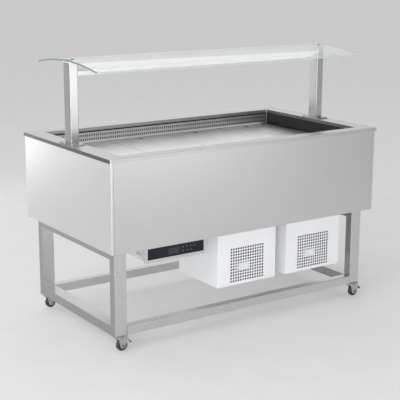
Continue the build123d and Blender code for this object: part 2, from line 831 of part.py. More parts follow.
def make_coil(label, x, face_y, side, foot, size, fan_centres, radius):
    """Fins on tubes behind a shroud; side is the way from the coil face towards the fans."""
    width, thickness, height = size
    fins = int(width // fin_pitch) + 1
    middle_y = face_y - side * thickness / 2
    middle_z = foot + height / 2
    with BuildPart() as coil:
        with BuildSketch(Plane((x, middle_y, foot))):
            with GridLocations(fin_pitch, 1, fins, 1):
                Rectangle(fin_thickness, thickness)
        extrude(amount=height)
        with BuildSketch(Plane((x, middle_y, middle_z), x_dir=(0, 1, 0), z_dir=(1, 0, 0))):
            with GridLocations(thickness / 2, height / (coil_tube_rows + 1), 2, coil_tube_rows):
                Circle(coil_tube_radius)
        extrude(amount=(fins - 1) * fin_pitch / 2 + fin_thickness / 2, both=True)
        with BuildSketch(Plane((x, face_y, middle_z), x_dir=(1, 0, 0), z_dir=(0, side, 0))):
            Rectangle(width, height)
            with Locations([(centre - x, 0) for centre in fan_centres]):
                Circle(radius + fan_tip_gap, mode=Mode.SUBTRACT)
        extrude(amount=shroud)
    save(coil, label)


# Condensing units hung under the tray
unit_front = frame_front + unit_setback
unit_bottom = body_bottom - unit_height
unit_back = unit_front + unit_depth
unit_floor = unit_bottom + sheet


def make_unit(name, x):
    """Casing, perforated front, compressor, coil, fan motor and fan of one unit."""
    case_front = unit_front + sheet
    case_depth = unit_depth - sheet
    case_middle = case_front + case_depth / 2
    facing = {"x_dir": (1, 0, 0), "z_dir": (0, -1, 0)}
    mid_level = unit_bottom + unit_height / 2
    with BuildPart() as casing:
        with BuildSketch(Plane((x, case_middle, unit_bottom))):
            Rectangle(unit_width, case_depth)
        extrude(amount=unit_height)
        with BuildSketch(Plane((x, case_front, mid_level), **facing)):
            Rectangle(unit_width - 2 * sheet, unit_height - 2 * sheet)
        extrude(amount=-(case_depth - sheet), mode=Mode.SUBTRACT)
        with BuildSketch(Plane((x, unit_back, mid_level), **facing)):
            with GridLocations(exhaust_slot_pitch, 1, exhaust_slots, 1):
                SlotOverall(exhaust_slot_length, exhaust_slot_width, rotation=90)
        extrude(amount=sheet, mode=Mode.SUBTRACT)
    save(casing, f"{name}_casing")

    screw_x = unit_width / 2 - unit_screw_inset
    with BuildPart() as front:
        with BuildSketch(Plane((x, case_front, mid_level), **facing)):
            Rectangle(unit_width, unit_height)
        extrude(amount=sheet)
        fillet(front.faces().sort_by(Axis.Y)[0].outer_wire().edges(), radius=fold_radius)
        with BuildSketch(Plane((x, case_front, unit_bottom + hole_field_rise), **facing)):
            with GridLocations(hole_pitch, hole_pitch, hole_columns, hole_rows):
                Circle(hole_radius)
        extrude(amount=sheet, mode=Mode.SUBTRACT)
        with BuildSketch(Plane((x, unit_front, mid_level), **facing)):
            with Locations((screw_x, 0), (-screw_x, 0)):
                Circle(unit_screw_radius)
        extrude(amount=unit_screw_head)
    save(front, f"{name}_front")

    pot_y = unit_front + compressor_inset
    with BuildPart() as compressor:
        with BuildSketch(Plane((x, pot_y, unit_floor))):
            RectangleRounded(compressor_foot_width, compressor_foot_depth, fork_eye_radius)
        extrude(amount=compressor_foot)
        with BuildSketch(Plane((x, pot_y, unit_floor + compressor_foot))):
            Circle(compressor_radius)
        extrude(amount=compressor_height)
        fillet(compressor.edges().group_by(Axis.Z)[-1], radius=compressor_dome)
    save(compressor, f"{name}_compressor")

    shroud_y = unit_back - sheet - coil_back_gap - coil_depth - shroud
    fan_level = unit_floor + coil_height / 2
    coil_size = (coil_width, coil_depth, coil_height)
    make_coil(f"{name}_coil", x, shroud_y + shroud, -1, unit_floor, coil_size, (x,), fan_radius)
    fan_y = make_motor(f"{name}_fan_motor", x, fan_level, shroud_y, -1, fan_radius)
    make_fan(f"{name}_fan", x, fan_y, fan_level, fan_radius)


for name, x in zip(("unit_left", "unit_right"), unit_centres):
    make_unit(name, x)

# Evaporator in the bottom of the well, blowing towards the duct behind the back wall
evaporator_back = -evaporator_setback
evaporator_level = well_floor + evaporator_height / 2
fan_centres = (-evaporator_fan_spacing / 2, evaporator_fan_spacing / 2)
evaporator_size = (evaporator_width, evaporator_depth, evaporator_height)
make_coil(
    "evaporator",
    0,
    evaporator_back,
    1,
    well_floor,
    evaporator_size,
    fan_centres,
    evaporator_fan_radius,
)

for name, x in zip(("left", "right"), fan_centres):
    fan_y = make_motor(
        f"evaporator_motor_{name}",
        x,
        evaporator_level,
        evaporator_back + shroud,
        1,
        evaporator_fan_radius,
    )
    make_fan(f"evaporator_fan_{name}", x, fan_y, evaporator_level, evaporator_fan_radius)

# Drain: a flanged pipe from the floor of the well, with a strainer cross and a hose tail under the tray
tail_top = body_bottom - drain_shoulder
with BuildPart() as drain:
    with BuildSketch(Plane((drain_x, drain_y, well_floor))):
        Circle(drain_flange_radius)
    extrude(amount=drain_flange)
    with BuildSketch(Plane((drain_x, drain_y, tail_top))):
        Circle(drain_radius)
    extrude(amount=well_floor - tail_top)
    with BuildSketch(Plane((drain_x, drain_y, tail_top - drain_tail))):
        Circle(drain_tail_radius)
    extrude(amount=drain_tail)
    with BuildSketch(Plane((drain_x, drain_y, tail_top - drain_tail))):
        Circle(drain_bore_radius)
    extrude(amount=well_floor + drain_flange - tail_top + drain_tail, mode=Mode.SUBTRACT)
    with BuildSketch(Plane((drain_x, drain_y, well_floor))):
        Rectangle(2 * drain_bore_radius, strainer_bar)
        Rectangle(strainer_bar, 2 * drain_bore_radius)
    extrude(amount=drain_flange)
save(drain, "drain_pipe")
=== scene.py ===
import math

import bmesh
import bpy
from mathutils import Matrix, Vector


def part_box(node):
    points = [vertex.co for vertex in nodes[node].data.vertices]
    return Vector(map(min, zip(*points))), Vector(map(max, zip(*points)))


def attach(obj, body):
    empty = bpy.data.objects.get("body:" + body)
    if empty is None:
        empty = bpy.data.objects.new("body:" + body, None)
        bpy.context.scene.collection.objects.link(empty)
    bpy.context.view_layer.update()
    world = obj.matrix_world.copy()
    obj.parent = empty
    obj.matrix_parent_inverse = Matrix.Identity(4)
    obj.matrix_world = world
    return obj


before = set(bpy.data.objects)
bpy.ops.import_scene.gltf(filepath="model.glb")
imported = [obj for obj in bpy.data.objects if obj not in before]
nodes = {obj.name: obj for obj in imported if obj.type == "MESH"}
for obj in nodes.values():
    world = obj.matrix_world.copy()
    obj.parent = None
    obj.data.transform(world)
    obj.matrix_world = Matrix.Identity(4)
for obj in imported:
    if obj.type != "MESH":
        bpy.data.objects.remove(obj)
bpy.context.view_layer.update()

ISLAND = "island"
CORNERS = ("front_left", "front_right", "back_left", "back_right")
UNITS = ("unit_left", "unit_right")
MM = 0.001


# Materials

NOISE_LOW, NOISE_HIGH = 0.3, 0.7  # where nearly all of a noise texture's values lie
BRUSH_ACROSS, BRUSH_ALONG = 420.0, 3.0  # noise cells in a metre
LINE_DARK, LINE_LIGHT = 0.975, 1.015  # shares of the tone in the brush lines
MARKS_ROUGH = 0.015  # roughness that the handling marks add or take away
SHADE_X_LOW, SHADE_X_HIGH = 0.6, 0.9  # how squarely steel looks along X where the painted shade starts and where it is full
EDGE_LOW, EDGE_HIGH = 0.5, 0.8  # how squarely glass looks along an axis where its tone changes
SMEAR_LOW, SMEAR_HIGH = 0.015, 0.05  # roughness of the glass
EDGE_CLEARNESS = 0.25  # share of the light that passes a cut edge of the glass
MIX_FACTOR, MIX_FIRST, MIX_SECOND, MIX_RESULT = 0, 6, 7, 2  # sockets of a Mix node for colours


def new_material(name):
    """An empty node material: the material, its node tree's makers and its main shader."""
    material = bpy.data.materials.new(name)
    material.use_nodes = True
    tree = material.node_tree
    return material, tree.nodes, tree.links, tree.nodes["Principled BSDF"]


def noise_field(tree_nodes, links, scale, detail, roughness=0.55):
    """A noise texture in the object's own metres, stretched by scale along X, Y and Z."""
    coordinates = tree_nodes.new("ShaderNodeTexCoord")
    mapping = tree_nodes.new("ShaderNodeMapping")
    mapping.inputs["Scale"].default_value = scale
    noise = tree_nodes.new("ShaderNodeTexNoise")
    noise.inputs["Scale"].default_value = 1.0
    noise.inputs["Detail"].default_value = detail
    noise.inputs["Roughness"].default_value = roughness
    links.new(coordinates.outputs["Object"], mapping.inputs["Vector"])
    links.new(mapping.outputs["Vector"], noise.inputs["Vector"])
    return noise.outputs["Fac"]


def ramp(tree_nodes, links, factor, low, high, from_low=NOISE_LOW, from_high=NOISE_HIGH):
    """A colour that goes from one to another over a range of the factor."""
    node = tree_nodes.new("ShaderNodeValToRGB")
    stops = ((from_low, low), (from_high, high))
    for element, (position, colour) in zip(node.color_ramp.elements, stops):
        element.position = position
        element.color = (*colour, 1.0)
    links.new(factor, node.inputs["Fac"])
    return node.outputs["Color"]


def span(tree_nodes, links, factor, low, high, from_low=NOISE_LOW, from_high=NOISE_HIGH):
    """A value moved from one range to another."""
    node = tree_nodes.new("ShaderNodeMapRange")
    node.inputs["From Min"].default_value = from_low
    node.inputs["From Max"].default_value = from_high
    node.inputs["To Min"].default_value = low
    node.inputs["To Max"].default_value = high
    links.new(factor, node.inputs["Value"])
    return node.outputs["Result"]


def toward(tree_nodes, links, factor, colour, fixed):
    """A colour that turns into a fixed one as the factor goes from 0 to 1."""
    mix = tree_nodes.new("ShaderNodeMix")
    mix.data_type = "RGBA"
    links.new(factor, mix.inputs[MIX_FACTOR])
    links.new(colour, mix.inputs[MIX_FIRST])
    mix.inputs[MIX_SECOND].default_value = (*fixed, 1.0)
    return mix.outputs[MIX_RESULT]


def bump(tree_nodes, links, shader, height, strength, distance):
    """Fine relief on the surface."""
    node = tree_nodes.new("ShaderNodeBump")
    node.inputs["Strength"].default_value = strength
    node.inputs["Distance"].default_value = distance
    links.new(height, node.inputs["Height"])
    links.new(node.outputs["Normal"], shader.inputs["Normal"])


def facing(tree_nodes, links, axis):
    """How squarely the surface looks along one axis, from 0 to 1."""
    geometry = tree_nodes.new("ShaderNodeNewGeometry")
    separate = tree_nodes.new("ShaderNodeSeparateXYZ")
    absolute = tree_nodes.new("ShaderNodeMath")
    absolute.operation = "ABSOLUTE"
    links.new(geometry.outputs["Normal"], separate.inputs["Vector"])
    links.new(separate.outputs[axis], absolute.inputs[0])
    return absolute.outputs["Value"]


def steel(name, grain, tone, roughness=0.32, spread=0.03, painted_shade_x=None):
    """Satin stainless with fine brush lines along one axis and faint handling marks.

    painted_shade_x is the share of the tone that is left on faces that look along X, a painted shade that
    darkens those sides.
    """
    material, tree_nodes, links, shader = new_material(name)
    scale = [BRUSH_ACROSS] * 3
    scale["XYZ".index(grain)] = BRUSH_ALONG
    lines = noise_field(tree_nodes, links, scale, detail=3.0)
    marks = noise_field(tree_nodes, links, (3.0, 3.0, 3.0), detail=3.0)
    dark = [LINE_DARK * c for c in tone]
    light = [LINE_LIGHT * c for c in tone]
    colour = ramp(tree_nodes, links, lines, dark, light)
    # Painted shade: faces that look along X are darkened towards the given share of the tone.
    if painted_shade_x:
        x_shade = span(tree_nodes, links, facing(tree_nodes, links, "X"), 0.0, 1.0, SHADE_X_LOW, SHADE_X_HIGH)
        colour = toward(tree_nodes, links, x_shade, colour, [painted_shade_x * c for c in tone])
    links.new(colour, shader.inputs["Base Color"])
    rough_lines = span(tree_nodes, links, lines, roughness - spread, roughness + spread)
    rough_marks = span(tree_nodes, links, marks, -MARKS_ROUGH, MARKS_ROUGH)
    add = tree_nodes.new("ShaderNodeMath")
    links.new(rough_lines, add.inputs[0])
    links.new(rough_marks, add.inputs[1])
    links.new(add.outputs["Value"], shader.inputs["Roughness"])
    shader.inputs["Metallic"].default_value = 1.0
    bump(tree_nodes, links, shader, lines, strength=0.05, distance=0.0001)
    return material


def speckled(
    name, dark, light, roughness, grain, metallic=0.0, relief=0.1, depth=0.0003, specular=0.5, spread=0.06
):
    """Paint, plastic, rubber or plating: a close mottled tone with a fine skin."""
    material, tree_nodes, links, shader = new_material(name)
    skin = noise_field(tree_nodes, links, (grain, grain, grain), detail=5.0)
    clouds = noise_field(tree_nodes, links, (9.0, 9.0, 9.0), detail=3.0)
    links.new(ramp(tree_nodes, links, clouds, dark, light), shader.inputs["Base Color"])
    rough_skin = span(tree_nodes, links, skin, roughness - spread, roughness + spread)
    links.new(rough_skin, shader.inputs["Roughness"])
    shader.inputs["Metallic"].default_value = metallic
    shader.inputs["Specular IOR Level"].default_value = specular
    bump(tree_nodes, links, shader, skin, relief, depth)
    return material


def clear_glass(name, face, long_edge, end_edge):
    """Clear sheet glass whose cut edges show the green of the mass, deeper at the two ends."""
    material, tree_nodes, links, shader = new_material(name)
    flat = facing(tree_nodes, links, "Z")
    end = facing(tree_nodes, links, "X")
    edge = ramp(tree_nodes, links, end, long_edge, end_edge, EDGE_LOW, EDGE_HIGH)
    from_edge = span(tree_nodes, links, flat, 0.0, 1.0, EDGE_LOW, EDGE_HIGH)
    links.new(toward(tree_nodes, links, from_edge, edge, face), shader.inputs["Base Color"])
    smear = noise_field(tree_nodes, links, (6.0, 6.0, 6.0), detail=3.0)
    links.new(span(tree_nodes, links, smear, SMEAR_LOW, SMEAR_HIGH), shader.inputs["Roughness"])
    clearness = span(tree_nodes, links, flat, EDGE_CLEARNESS, 1.0, EDGE_LOW, EDGE_HIGH)
    links.new(clearness, shader.inputs["Transmission Weight"])
    shader.inputs["IOR"].default_value = 1.5
    return material


def glowing(name, dark, light, strength):
    """A pale moulded cover that gives off a soft light."""
    material, tree_nodes, links, shader = new_material(name)
    grain = noise_field(tree_nodes, links, (40.0, 40.0, 40.0), detail=2.0)
    colour = ramp(tree_nodes, links, grain, dark, light)
    links.new(colour, shader.inputs["Base Color"])
    links.new(colour, shader.inputs["Emission Color"])
    shader.inputs["Emission Strength"].default_value = strength
    shader.inputs["Roughness"].default_value = 0.4
    return material


steel_x = steel("steel_brushed_x", "X", (0.66, 0.66, 0.665))
# Painted shade on the worktop's folded ends, which look along X.
steel_top = steel("steel_worktop", "X", (0.61, 0.61, 0.615), painted_shade_x=0.2)
steel_y = steel("steel_brushed_y", "Y", (0.75, 0.75, 0.755))
# Painted shade on the sides of the posts and frame legs that look along X.
steel_post = steel("steel_post", "Z", (0.53, 0.53, 0.535), roughness=0.24, spread=0.015, painted_shade_x=0.66)
steel_frame = steel("steel_frame", "Z", (0.64, 0.64, 0.645), roughness=0.27, spread=0.015, painted_shade_x=0.62)
steel_rail = steel("steel_rail", "X", (0.65, 0.65, 0.655), roughness=0.28, spread=0.015)
# The panels' high tone is painted light, and their seam flanges, which look along X, get painted shade.
steel_panel = steel("steel_panel", "Y", (0.93, 0.93, 0.93), roughness=0.30, painted_shade_x=0.08)
# The well liner's very dark tone and its darker end walls are painted shade inside the well.
steel_well_shaded = steel("steel_well_shaded", "X", (0.18, 0.18, 0.185), roughness=0.34, painted_shade_x=0.15)
# The grille's high tone is painted light.
steel_grille = steel("steel_grille", "X", (0.86, 0.86, 0.865), roughness=0.36)

white_paint = speckled("white_powder_coat", (0.84, 0.85, 0.87), (0.88, 0.89, 0.91), 0.42, 900.0)
black_paint = speckled("black_enamel", (0.02, 0.02, 0.022), (0.04, 0.04, 0.043), 0.35, 600.0)
lamp_body = speckled("lamp_channel", (0.86, 0.87, 0.87), (0.91, 0.92, 0.92), 0.36, 500.0)

zinc = speckled("zinc_plate", (0.46, 0.46, 0.46), (0.54, 0.54, 0.545), 0.34, 300.0, metallic=1.0)
pedal_steel = speckled("pedal_steel", (0.14, 0.14, 0.142), (0.20, 0.20, 0.204), 0.4, 300.0, metallic=1.0)
fins = speckled("bare_fins", (0.62, 0.62, 0.61), (0.74, 0.74, 0.73), 0.38, 200.0, metallic=1.0)
brass = speckled("brass", (0.55, 0.36, 0.13), (0.70, 0.48, 0.20), 0.28, 300.0, metallic=1.0)

fan_plastic = speckled("fan_plastic", (0.03, 0.03, 0.033), (0.05, 0.05, 0.055), 0.5, 500.0)
drain_plastic = speckled("grey_plastic", (0.10, 0.10, 0.105), (0.14, 0.14, 0.145), 0.5, 500.0)
foam = speckled("foam", (0.62, 0.55, 0.32), (0.72, 0.64, 0.40), 0.85, 250.0, relief=0.5, depth=0.001)
duct_black = speckled("duct_lining", (0.018, 0.018, 0.02), (0.032, 0.032, 0.035), 0.75, 250.0, relief=0.4)
filter_black = speckled("filter_mat", (0.006, 0.006, 0.007), (0.016, 0.016, 0.018), 0.9, 900.0, relief=0.6)

wheel_rubber = speckled(
    "tyre_rubber", (0.035, 0.035, 0.037), (0.055, 0.055, 0.058), 0.62, 700.0, relief=0.3
)
black_rubber = speckled(
    "black_rubber", (0.025, 0.025, 0.026), (0.045, 0.045, 0.047), 0.6, 700.0, relief=0.3
)
pale_rubber = speckled("pale_rubber", (0.42, 0.43, 0.43), (0.50, 0.51, 0.51), 0.55, 700.0, relief=0.3)

black_glass = speckled(
    "black_display_glass", (0.010, 0.014, 0.020), (0.016, 0.022, 0.030), 0.12, 50.0,
    relief=0.0, specular=0.2,
)
key_mark = speckled("key_marks", (0.11, 0.14, 0.17), (0.17, 0.20, 0.24), 0.4, 200.0, relief=0.0)
readout = speckled("readout_window", (0.016, 0.019, 0.023), (0.024, 0.028, 0.033), 0.3, 200.0, relief=0.0)
lamp_cover = glowing("lamp_diffuser", (0.92, 0.93, 0.92), (0.98, 0.98, 0.97), strength=0.9)
glass = clear_glass(
    "canopy_clear_glass",
    face=(0.96, 0.985, 0.978), long_edge=(0.80, 0.90, 0.86), end_edge=(0.30, 0.40, 0.37),
)

PAINT = {
    "worktop": steel_top,
    "apron_front": steel_x,
    "apron_back": steel_x,
    "apron_left": steel_y,
    "apron_right": steel_y,
    "bottom_tray": steel_x,
    "well_liner": steel_well_shaded,
    "air_outlet_grille": steel_grille,
    "air_return_grille": steel_grille,
    "rail_front": steel_rail,
    "rail_back": steel_rail,
    "control_fascia": steel_x,
    "control_box": steel_y,
    "insulation": foam,
    "canopy_glass": glass,
    "lamp_housing": lamp_body,
    "lamp_diffuser": lamp_cover,
    "display_glass": black_glass,
    "evaporator": fins,
    "drain_pipe": drain_plastic,
}
PREFIX_PAINT = {
    "well_panel_": steel_panel,
    "post_": steel_post,
    "side_frame_": steel_frame,
    "glass_clamp_": steel_y,
    "castor_head_": zinc,
    "castor_fork_": zinc,
    "brake_pedal_": pedal_steel,
    "castor_wheel_": wheel_rubber,
    "evaporator_motor_": black_paint,
    "evaporator_fan_": fan_plastic,
}
SUFFIX_PAINT = {
    "_casing": white_paint,
    "_front": white_paint,
    "_compressor": black_paint,
    "_fan_motor": black_paint,
    "_fan": fan_plastic,
    "_coil": fins,
}


def paint_of(name):
    """The material that belongs to a CAD node."""
    if name in PAINT:
        return PAINT[name]
    for prefix, material in PREFIX_PAINT.items():
        if name.startswith(prefix):
            return material
    for suffix, material in SUFFIX_PAINT.items():
        if name.endswith(suffix):
            return material
    raise KeyError(name)


for name, node in nodes.items():
    node.data.materials.clear()
    node.data.materials.append(paint_of(name))


# Shapes that the small pieces are made of


def new_piece(name, shape, material, body=ISLAND):
    """A finished piece from a bmesh, fixed to a body."""
    bmesh.ops.recalc_face_normals(shape, faces=shape.faces)
    data = bpy.data.meshes.new(name)
    shape.to_mesh(data)
    shape.free()
    data.materials.append(material)
    item = bpy.data.objects.new(name, data)
    bpy.context.scene.collection.objects.link(item)
    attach(item, body)


def join_rings(shape, lower, upper):
    """The band of faces between two closed rings of points."""
    for k in range(len(lower)):
        n = (k + 1) % len(lower)
        shape.faces.new((lower[k], lower[n], upper[n], upper[k]))


def block(shape, low, high, bevel):
    """A bar or plate with eased edges, between two corners."""
    verts = bmesh.ops.create_cube(shape, size=1.0)["verts"]
    for vert in verts:
        vert.co = Vector(a + (b - a) * (c + 0.5) for a, b, c in zip(low, high, vert.co))
    edges = list({edge for vert in verts for edge in vert.link_edges})
    bmesh.ops.bevel(shape, geom=edges, offset=bevel, segments=2, profile=0.5, affect="EDGES")


def turned(shape, centre, axis, profile, sides, closed=False):
    """A turned form through (radius, height) pairs in millimetres, capped, or closed into a ring."""
    turn = Vector((0, 0, 1)).rotation_difference(Vector(axis)).to_matrix()
    angles = [2 * math.pi * i / sides for i in range(sides)]
    rings = []
    for radius, height in profile:
        places = [MM * Vector((radius * math.cos(a), radius * math.sin(a), height)) for a in angles]
        rings.append([shape.verts.new(Vector(centre) + turn @ place) for place in places])
    for lower, upper in zip(rings, rings[1:]):
        join_rings(shape, lower, upper)
    if closed:
        join_rings(shape, rings[-1], rings[0])
    else:
        shape.faces.new(rings[0])
        shape.faces.new(rings[-1])


def strip(shape, x0, x1, section):
    """A bar of one section along X, through closed (y, z) points."""
    x_shade = [[shape.verts.new((x, y, z)) for y, z in section] for x in (x0, x1)]
    join_rings(shape, *x_shade)
    for end in x_shade:
        shape.faces.new(end)


BEAD_STEP = 2.5 * MM
BEAD_SIDES = 6
RIPPLE, RIPPLE_TURN = 0.18, 2.1  # share of the radius, and radians from step to step


def weld_bead(shape, x, low, high, radius):
    """A rippled bead round a tube end that meets a face square to X."""
    (y0, z0), (y1, z1) = low, high
    corners = [Vector((x, y0, z0)), Vector((x, y1, z0)), Vector((x, y1, z1)), Vector((x, y0, z1))]
    points = []
    for start, end in zip(corners, corners[1:] + corners[:1]):
        count = max(2, round((end - start).length / BEAD_STEP))
        points += [start.lerp(end, i / count) for i in range(count)]
    side = Vector((1, 0, 0))
    angles = [2 * math.pi * k / BEAD_SIDES for k in range(BEAD_SIDES)]
    rings = []
    for i, point in enumerate(points):
        along = (points[(i + 1) % len(points)] - points[i - 1]).normalized()
        out = along.cross(side)
        size = radius * (1.0 + RIPPLE * math.sin(RIPPLE_TURN * i))
        places = [point + size * (math.cos(a) * side + math.sin(a) * out) for a in angles]
        rings.append([shape.verts.new(place) for place in places])
    for lower, upper in zip(rings, rings[1:] + rings[:1]):
        join_rings(shape, lower, upper)


# Condensing units: pleated filter, bracket, terminal box and service valve behind the perforated front

CASING_WALL = 2 * MM
FILTER_PLEATS = 66
FILTER_SIDE_GAP = 2.2 * MM
FILTER_NEAR, FILTER_FAR = 15 * MM, 19 * MM  # behind the perforated front
FILTER_THICK = 1.5 * MM

TERMINAL_SHIFT = -14 * MM  # from the middle of the unit
TERMINAL_LEVEL = 277 * MM
TERMINAL_HALF_WIDTH, TERMINAL_HALF_HEIGHT = 31 * MM, 18.5 * MM
TERMINAL_NEAR = 4 * MM
COVER_INSET = 3 * MM
COVER_NEAR, COVER_FAR = 3 * MM, 4.2 * MM
TERMINAL_EASE, COVER_EASE = 1.5 * MM, 0.5 * MM

BRACKET_NEAR, BRACKET_FAR = 12.5 * MM, 14 * MM
BRACKET_HALF_WIDTH = 8 * MM
UPRIGHT_TOP = 7 * MM  # from the level of the terminal box, as are the next heights
BAR_FOOT, BAR_TOP = -7 * MM, 9 * MM
BAR_LEFT, BAR_RIGHT = -64 * MM, 32 * MM
BRACKET_EASE = 0.4 * MM

VALVE_NEAR = 7.5 * MM
VALVE_LEFT, VALVE_RISE = -62.5 * MM, 1 * MM
STEM_LEFT, STEM_FOOT = -46 * MM, -15 * MM
VALVE_BODY = ((4.5, 0), (5, 1), (5, 30))
VALVE_NUT = ((4.6, 5), (5.2, 6), (5.2, 15), (4.6, 16))
VALVE_STEM = ((3.5, 0), (4.5, 1), (4.5, 34), (3.5, 35))

LIP_HEIGHT = 12 * MM
LIP_PROUD, LIP_SUNK = 0.8 * MM, 0.2 * MM
LIP_EASE = 0.3 * MM


def dust_filter(unit, low, high, front, bottom):
    """A pleated mat that fills the casing behind the front."""
    mat = bmesh.new()
    left, right_end = low.x + FILTER_SIDE_GAP, high.x - FILTER_SIDE_GAP
    top = high.z - CASING_WALL
    lines = []
    for i in range(FILTER_PLEATS + 1):
        x = left + (right_end - left) * i / FILTER_PLEATS
        near = front + (FILTER_NEAR if i % 2 else FILTER_FAR)
        far = near + FILTER_THICK
        section = ((near, bottom), (near, top), (far, top), (far, bottom))
        lines.append([mat.verts.new((x, y, z)) for y, z in section])
    for before, after in zip(lines, lines[1:]):
        join_rings(mat, before, after)
    mat.faces.new(lines[0])
    mat.faces.new(lines[-1])
    new_piece(unit + "_filter", mat, filter_black)


def terminal_bracket(unit, centre, front, bottom):
    """A folded foot, an upright and a cross bar that carry the terminal box and the valve."""
    left, right_end = centre - BRACKET_HALF_WIDTH, centre + BRACKET_HALF_WIDTH
    near, far = front + BRACKET_NEAR, front + BRACKET_FAR
    foot_top = bottom + BRACKET_FAR - BRACKET_NEAR
    bracket = bmesh.new()
    block(bracket, (left, near, bottom), (right_end, far, TERMINAL_LEVEL + UPRIGHT_TOP), BRACKET_EASE)
    block(
        bracket, (centre + BAR_LEFT, near, TERMINAL_LEVEL + BAR_FOOT),
        (centre + BAR_RIGHT, far, TERMINAL_LEVEL + BAR_TOP), BRACKET_EASE,
    )
    block(bracket, (left, front + TERMINAL_NEAR, bottom), (right_end, near, foot_top), BRACKET_EASE)
    new_piece(unit + "_bracket", bracket, black_paint)


def terminal_box(unit, centre, front):
    """A box with a raised cover."""
    terminal = bmesh.new()
    for inset, near, far, ease in (
        (0.0, TERMINAL_NEAR, BRACKET_NEAR, TERMINAL_EASE),
        (COVER_INSET, COVER_NEAR, COVER_FAR, COVER_EASE),
    ):
        half_width, half_height = TERMINAL_HALF_WIDTH - inset, TERMINAL_HALF_HEIGHT - inset
        block(
            terminal, (centre - half_width, front + near, TERMINAL_LEVEL - half_height),
            (centre + half_width, front + far, TERMINAL_LEVEL + half_height), ease,
        )
    new_piece(unit + "_terminal_box", terminal, white_paint)


def service_valve(unit, centre, front):
    """A level body with a hexagon nut, crossed by an upright stem."""
    valve = bmesh.new()
    seat = (centre + VALVE_LEFT, front + VALVE_NEAR, TERMINAL_LEVEL + VALVE_RISE)
    turned(valve, seat, (1, 0, 0), VALVE_BODY, sides=20)
    turned(valve, seat, (1, 0, 0), VALVE_NUT, sides=6)
    foot = (centre + STEM_LEFT, front + VALVE_NEAR, TERMINAL_LEVEL + STEM_FOOT)
    turned(valve, foot, (0, 0, 1), VALVE_STEM, sides=20)
    new_piece(unit + "_service_valve", valve, brass)


def base_lip(unit, low, high):
    """A folded lip along the foot of the casing's sides and back."""
    lips = bmesh.new()
    top = low.z + LIP_HEIGHT
    for x0, x1 in ((low.x - LIP_PROUD, low.x + LIP_SUNK), (high.x - LIP_SUNK, high.x + LIP_PROUD)):
        block(lips, (x0, low.y + CASING_WALL, low.z), (x1, high.y, top), LIP_EASE)
    block(lips, (low.x, high.y - LIP_SUNK, low.z), (high.x, high.y + LIP_PROUD, top), LIP_EASE)
    new_piece(unit + "_base_lip", lips, white_paint)


for unit in UNITS:
    low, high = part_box(unit + "_casing")
    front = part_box(unit + "_front")[1].y
    bottom = low.z + CASING_WALL
    centre = (low.x + high.x) / 2 + TERMINAL_SHIFT
    dust_filter(unit, low, high, front, bottom)
    terminal_bracket(unit, centre, front, bottom)
    terminal_box(unit, centre, front)
    service_valve(unit, centre, front)
    base_lip(unit, low, high)


# Air ducts: a black lining on the foam side, and a two-lipped seal above each grille

DUCT_REACH = 19.8 * MM  # beyond the liner
DUCT_END_GAP = 18 * MM
DUCT_FOOT, DUCT_HEAD = 600 * MM, 864 * MM
LINING_THICK = 1.2 * MM
LINING_RETURN, LINING_END = 8 * MM, 2 * MM
LINING_EASE = 0.4 * MM
# Section of the seal, in millimetres out from the wall and up from the grille
LIP_SEAL = ((0, 0.4), (1.2, 0.6), (1.7, 1.8), (1.1, 3.2), (1.1, 4.4), (1.7, 5.8), (1.2, 7), (0, 7.2))

liner_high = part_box("well_liner")[1]
duct_end = liner_high.x - DUCT_END_GAP
for label, side in (("outlet", 1), ("return", -1)):
    face = side * (liner_high.y + DUCT_REACH)
    inner = face - side * LINING_THICK
    lining = bmesh.new()
    y0, y1 = sorted((face, inner))
    block(lining, (-duct_end, y0, DUCT_FOOT), (duct_end, y1, DUCT_HEAD), LINING_EASE)
    y0, y1 = sorted((inner, inner - side * LINING_RETURN))
    for x in (-duct_end, duct_end - LINING_END):
        block(lining, (x, y0, DUCT_FOOT), (x + LINING_END, y1, DUCT_HEAD), LINING_EASE)
    new_piece("duct_lining_" + label, lining, duct_black)

    low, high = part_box("air_" + label + "_grille")
    wall = high.y if side > 0 else low.y
    seal = bmesh.new()
    strip(seal, low.x, high.x, [(wall - side * out * MM, high.z + rise * MM) for out, rise in LIP_SEAL])
    new_piece("lip_seal_" + label, seal, black_rubber)


# Control box: an insulating board seen through its vents, and an edge seal behind the fascia

BOARD_GAP = 2 * MM
BOARD_THICK, BOARD_FOOT = 1 * MM, 40 * MM
BOARD_FRONT, BOARD_BACK = 12 * MM, 4 * MM
BOARD_LIFT = 1.6 * MM
BOARD_EASE, SEAL_EASE = 0.3 * MM, 0.4 * MM
SEAL_OUT = 0.8 * MM
SEAL_FRONT, SEAL_BACK, SEAL_DROP = 0.5 * MM, 11 * MM, 0.5 * MM

box_low, box_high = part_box("control_box")
board = bmesh.new()
start = Vector((box_low.x + BOARD_GAP, box_low.y + BOARD_FRONT, box_low.z + BOARD_LIFT))
board_back = box_high.y - BOARD_BACK
block(board, start, (start.x + BOARD_THICK, board_back, box_high.z - BOARD_GAP), BOARD_EASE)
block(board, start, (start.x + BOARD_FOOT, board_back, start.z + BOARD_THICK), BOARD_EASE)
new_piece("control_board_shield", board, duct_black)

seal = bmesh.new()
y0, y1 = box_low.y + SEAL_FRONT, box_low.y + SEAL_BACK
foot = box_low.z - SEAL_OUT
for x in (box_low.x, box_high.x):
    block(seal, (x - SEAL_OUT, y0, foot), (x + SEAL_OUT, y1, box_high.z - SEAL_DROP), SEAL_EASE)
block(seal, (box_low.x, y0, foot), (box_high.x, y1, box_low.z + SEAL_OUT), SEAL_EASE)
new_piece("fascia_edge_seal", seal, black_rubber)


# Display glass: a readout window and two rows of touch keys

